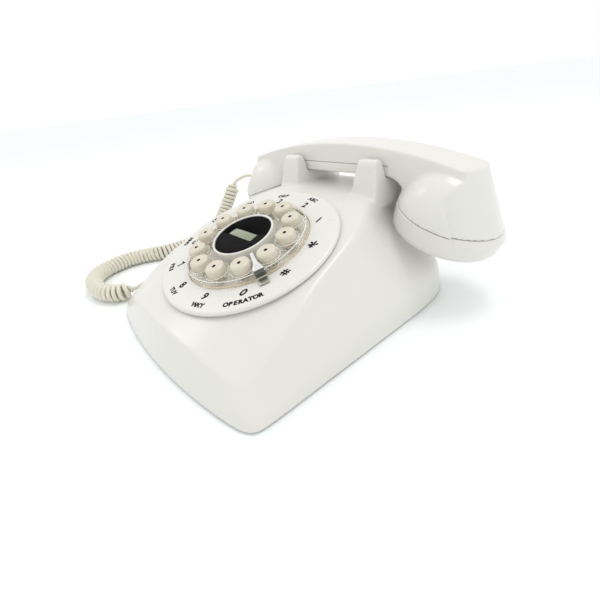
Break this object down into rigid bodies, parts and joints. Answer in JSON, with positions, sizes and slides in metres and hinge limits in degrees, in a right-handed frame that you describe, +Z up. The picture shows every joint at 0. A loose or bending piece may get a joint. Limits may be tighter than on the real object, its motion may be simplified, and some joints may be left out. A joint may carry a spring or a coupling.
{
  "type": "push-button desk telephone with a round dial",
  "caption": "Retro desk telephone with push buttons set in a round dial, a lift-off handset on a cradle and a coiled handset cord.",
  "frame": {"origin": "on the table, under the middle of the telephone and its handset, the cord left out", "axes": "+Z up, the dial faces -Y, +X towards the receiver end of the handset"},
  "size_m": [0.2893, 0.2211, 0.1021],
  "materials": {
    "ivory_shell": "warm off-white injection-moulded plastic, glossy",
    "base_steel": "zinc plated sheet steel",
    "foot_rubber": "black rubber",
    "screw_steel": "plated steel",
    "board_green": "green circuit board",
    "standoff_brass": "turned brass",
    "dark_plastic": "dark grey moulded plastic",
    "gong_brass": "polished brass",
    "coil_winding": "enamelled copper winding",
    "ringer_steel": "plated steel",
    "ivory_dial": "off-white plastic, printed black figures on the number plate",
    "cream_pan": "cream plastic",
    "clear_wheel": "clear acrylic with amber tinted edges",
    "black_card": "gloss black plastic",
    "display_glass": "grey-green liquid crystal display",
    "chrome_stop": "bright chrome",
    "keypad_rubber": "dark silicone rubber",
    "cord_cream": "cream vinyl cord jacket, slightly glossy",
    "plug_clear": "clear polycarbonate plug",
    "capsule_plastic": "dark plastic capsule",
    "ivory_plunger": "off-white moulded plastic",
    "black_knob": "black plastic",
    "cream_button": "cream plastic with a black dot on top"
  },
  "bodies": {
    "base": {"housing": "ivory_shell", "base_plate": "base_steel", "foot_front_left": "foot_rubber", "foot_front_right": "foot_rubber", "foot_rear_left": "foot_rubber", "foot_rear_right": "foot_rubber", "housing_screw_front": "screw_steel", "housing_screw_rear": "screw_steel", "main_board": "board_green", "standoff_1": "standoff_brass", "standoff_2": "standoff_brass", "standoff_3": "standoff_brass", "standoff_4": "standoff_brass", "handset_cord_jack": "dark_plastic", "line_jack": "dark_plastic", "ringer_switch_body": "dark_plastic", "gong_left": "gong_brass", "gong_right": "gong_brass", "ringer_coil": "coil_winding", "ringer_frame": "ringer_steel", "clapper_pin": "ringer_steel", "hook_switch": "dark_plastic", "number_plate": "ivory_dial", "dial_pan": "cream_pan", "finger_wheel": "clear_wheel", "hub_ring": "ivory_dial", "center_card": "black_card", "display_window": "display_glass", "finger_stop": "chrome_stop", "keypad_membrane": "keypad_rubber", "keypad_board": "board_green", "curly_cord": "cord_cream", "cord_lead_base": "cord_cream", "cord_plug_base": "plug_clear"},
    "handset": {"handset_shell": "ivory_shell", "handle_insert": "ivory_shell", "receiver_cap": "ivory_shell", "receiver_capsule": "capsule_plastic", "transmitter_cap": "ivory_shell", "transmitter_capsule": "capsule_plastic", "cord_lead_handset": "cord_cream", "cord_plug_handset": "plug_clear"},
    "hook": {"hook_plunger_left": "ivory_plunger", "hook_plunger_right": "ivory_plunger", "hook_bar": "dark_plastic"},
    "clapper": {"clapper": "ringer_steel"},
    "ringer_switch": {"ringer_switch_knob": "black_knob"},
    "key_1": {"button_1": "cream_button"},
    "key_2": {"button_2": "cream_button"},
    "key_3": {"button_3": "cream_button"},
    "key_4": {"button_4": "cream_button"},
    "key_5": {"button_5": "cream_button"},
    "key_6": {"button_6": "cream_button"},
    "key_7": {"button_7": "cream_button"},
    "key_8": {"button_8": "cream_button"},
    "key_9": {"button_9": "cream_button"},
    "key_0": {"button_0": "cream_button"},
    "key_hash": {"button_hash": "cream_button"},
    "key_star": {"button_star": "cream_button"}
  },
  "joints": [
    {"name": "handset_lift", "type": "slide", "parent": "base", "child": "handset", "axis": [0, 0, 1], "range_m": [0, 0.1], "deforming": ["curly_cord"]},
    {"name": "hook_travel", "type": "slide", "parent": "base", "child": "hook", "axis": [0, 0, 1], "range_m": [0, 0.005]},
    {"name": "clapper_swing", "type": "hinge", "parent": "base", "child": "clapper", "pos_m": [0, 0.067, 0.017], "axis": [0, 0, 1], "range_deg": [-5.5, 5.5], "stiffness_Nm_per_rad": 0.0004},
    {"name": "ringer_switch_slide", "type": "slide", "parent": "base", "child": "ringer_switch", "axis": [1, 0, 0], "range_m": [0, 0.004]},
    {"name": "press_1", "type": "slide", "parent": "base", "child": "key_1", "axis": [0, -0.3098, 0.9508], "range_m": [-0.002, 0], "stiffness_N_per_m": 150},
    {"name": "press_2", "type": "slide", "parent": "base", "child": "key_2", "axis": [0, -0.3098, 0.9508], "range_m": [-0.002, 0], "stiffness_N_per_m": 150},
    {"name": "press_3", "type": "slide", "parent": "base", "child": "key_3", "axis": [0, -0.3098, 0.9508], "range_m": [-0.002, 0], "stiffness_N_per_m": 150},
    {"name": "press_4", "type": "slide", "parent": "base", "child": "key_4", "axis": [0, -0.3098, 0.9508], "range_m": [-0.002, 0], "stiffness_N_per_m": 150},
    {"name": "press_5", "type": "slide", "parent": "base", "child": "key_5", "axis": [0, -0.3098, 0.9508], "range_m": [-0.002, 0], "stiffness_N_per_m": 150},
    {"name": "press_6", "type": "slide", "parent": "base", "child": "key_6", "axis": [0, -0.3098, 0.9508], "range_m": [-0.002, 0], "stiffness_N_per_m": 150},
    {"name": "press_7", "type": "slide", "parent": "base", "child": "key_7", "axis": [0, -0.3098, 0.9508], "range_m": [-0.002, 0], "stiffness_N_per_m": 150},
    {"name": "press_8", "type": "slide", "parent": "base", "child": "key_8", "axis": [0, -0.3098, 0.9508], "range_m": [-0.002, 0], "stiffness_N_per_m": 150},
    {"name": "press_9", "type": "slide", "parent": "base", "child": "key_9", "axis": [0, -0.3098, 0.9508], "range_m": [-0.002, 0], "stiffness_N_per_m": 150},
    {"name": "press_0", "type": "slide", "parent": "base", "child": "key_0", "axis": [0, -0.3098, 0.9508], "range_m": [-0.002, 0], "stiffness_N_per_m": 150},
    {"name": "press_hash", "type": "slide", "parent": "base", "child": "key_hash", "axis": [0, -0.3098, 0.9508], "range_m": [-0.002, 0], "stiffness_N_per_m": 150},
    {"name": "press_star", "type": "slide", "parent": "base", "child": "key_star", "axis": [0, -0.3098, 0.9508], "range_m": [-0.002, 0], "stiffness_N_per_m": 150}
  ],
  "couplings": [
    {"joint": "hook_travel", "follows": "handset_lift", "ratio": 0.05}
  ]
}
